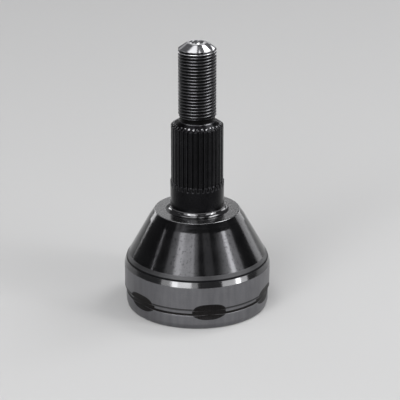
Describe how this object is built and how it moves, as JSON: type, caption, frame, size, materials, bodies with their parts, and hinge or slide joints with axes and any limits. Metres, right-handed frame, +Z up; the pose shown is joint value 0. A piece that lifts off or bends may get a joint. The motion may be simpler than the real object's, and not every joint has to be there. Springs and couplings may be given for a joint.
{
  "type": "constant velocity joint",
  "caption": "Wheel-side constant velocity joint: a forged bell with splined and threaded stub shaft, holding the race, cage and balls that let the axle shaft bend while it turns.",
  "frame": {"origin": "joint centre, where the axle shaft's axis meets the stub shaft's axis", "axes": "+Z up the stub shaft to its threaded end, +X through a ball and its track, +Y the axis that the joint bends about"},
  "size_m": [0.0931, 0.0932, 0.1734],
  "materials": {
    "forged_steel": "oiled, phosphated black, with ground and turned bands left bright",
    "cage_steel": "hardened, dark, with ground window faces",
    "race_steel": "hardened and ground",
    "spring_steel": "oil-blackened spring wire",
    "ball_steel": "polished"
  },
  "bodies": {
    "bell": {"outer_race": "forged_steel"},
    "race": {"inner_race": "race_steel", "retaining_ring": "spring_steel"},
    "cage": {"ball_cage": "cage_steel"},
    "ball_1": {"ball_1": "ball_steel"},
    "ball_2": {"ball_2": "ball_steel"},
    "ball_3": {"ball_3": "ball_steel"},
    "ball_4": {"ball_4": "ball_steel"},
    "ball_5": {"ball_5": "ball_steel"},
    "ball_6": {"ball_6": "ball_steel"}
  },
  "joints": [
    {"name": "articulation", "type": "hinge", "parent": "bell", "child": "race", "pos_m": [0, 0, 0], "axis": [0, 1, 0], "range_deg": [-45, 45]},
    {"name": "cage_tilt", "type": "hinge", "parent": "bell", "child": "cage", "pos_m": [0, 0, 0], "axis": [0, 1, 0], "range_deg": [-22.5, 22.5]},
    {"name": "ball_1_roll", "type": "hinge", "parent": "bell", "child": "ball_1", "pos_m": [0, 0, -0.0038], "axis": [0, 1, 0], "range_deg": [-22.5, 22.5]},
    {"name": "ball_2_roll", "type": "hinge", "parent": "bell", "child": "ball_2", "pos_m": [0, 0, -0.0038], "axis": [-0.866, 0.5, 0], "range_deg": [-11.7, 11.7]},
    {"name": "ball_3_roll", "type": "hinge", "parent": "bell", "child": "ball_3", "pos_m": [0, 0, -0.0038], "axis": [-0.866, -0.5, 0], "range_deg": [-11.7, 11.7]},
    {"name": "ball_4_roll", "type": "hinge", "parent": "bell", "child": "ball_4", "pos_m": [0, 0, -0.0038], "axis": [0, -1, 0], "range_deg": [-22.5, 22.5]},
    {"name": "ball_5_roll", "type": "hinge", "parent": "bell", "child": "ball_5", "pos_m": [0, 0, -0.0038], "axis": [0.866, -0.5, 0], "range_deg": [-11.7, 11.7]},
    {"name": "ball_6_roll", "type": "hinge", "parent": "bell", "child": "ball_6", "pos_m": [0, 0, -0.0038], "axis": [0.866, 0.5, 0], "range_deg": [-11.7, 11.7]}
  ],
  "couplings": [
    {"joint": "cage_tilt", "follows": "articulation", "ratio": 0.5},
    {"joint": "ball_1_roll", "follows": "articulation", "ratio": 0.5},
    {"joint": "ball_2_roll", "follows": "articulation", "ratio": 0.26},
    {"joint": "ball_3_roll", "follows": "articulation", "ratio": -0.26},
    {"joint": "ball_4_roll", "follows": "articulation", "ratio": -0.5},
    {"joint": "ball_5_roll", "follows": "articulation", "ratio": -0.26},
    {"joint": "ball_6_roll", "follows": "articulation", "ratio": 0.26}
  ]
}
